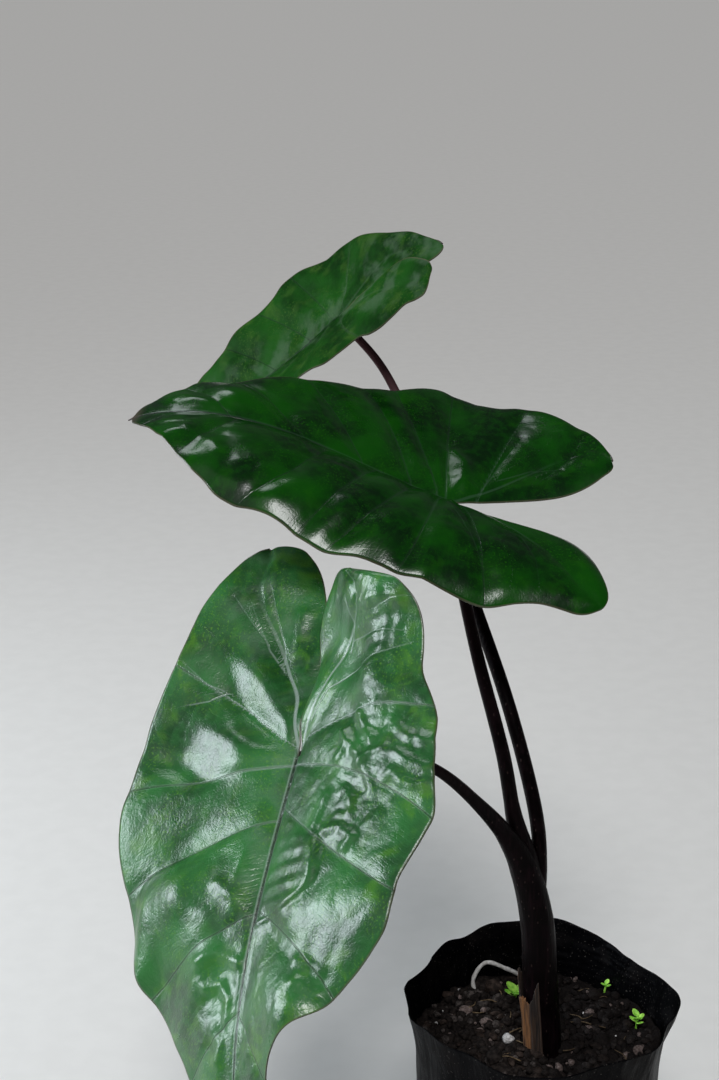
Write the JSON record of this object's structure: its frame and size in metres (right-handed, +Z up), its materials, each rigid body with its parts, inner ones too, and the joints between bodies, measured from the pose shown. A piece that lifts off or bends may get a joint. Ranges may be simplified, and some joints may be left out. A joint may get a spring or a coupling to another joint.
{
  "type": "potted alocasia plumbea nigra",
  "caption": "Potted aroid: arrow-shaped glossy leaves with sunken veins on near-black clasping stalks, rising from a corm in soil, held in a thin black film grow bag.",
  "frame": {"origin": "middle of the grow bag's flat bottom, on the surface that it stands on", "axes": "+Z up, +X to the right and +Y away from the viewer of the picture"},
  "size_m": [0.2583, 0.3692, 0.4769],
  "materials": {
    "bag_film": "thin black polythene film, satin, creased, dusty at the rim",
    "soil": "dark crumbly potting mix of bark and coir with pale grit",
    "corm": "brown scaly corm with pale brown roots",
    "dry_sheath": "dried brown fibrous leaf sheath, matt",
    "root": "pale smooth young root",
    "stalk": "near-black purple leaf stalk with a satin sheen",
    "leaf_lower": "mid green with a blue-grey sheen, pale veins, satin gloss",
    "leaf_middle": "deep green, very glossy, with sunken veins",
    "leaf_upper": "mid green, satin, with yellow-green patches",
    "seedling": "bright fresh green weed leaves"
  },
  "bodies": {
    "root": {"grow_bag": "bag_film", "soil": "soil", "corm_and_roots": "corm", "dry_sheath": "dry_sheath", "root_loop": "root", "stalk_lower": "stalk", "stalk_middle": "stalk", "stalk_upper": "stalk", "blade_lower": "leaf_lower", "blade_middle": "leaf_middle", "blade_upper": "leaf_upper", "seedling_left": "seedling", "seedling_back": "seedling", "seedling_right": "seedling"}
  },
  "joints": []
}
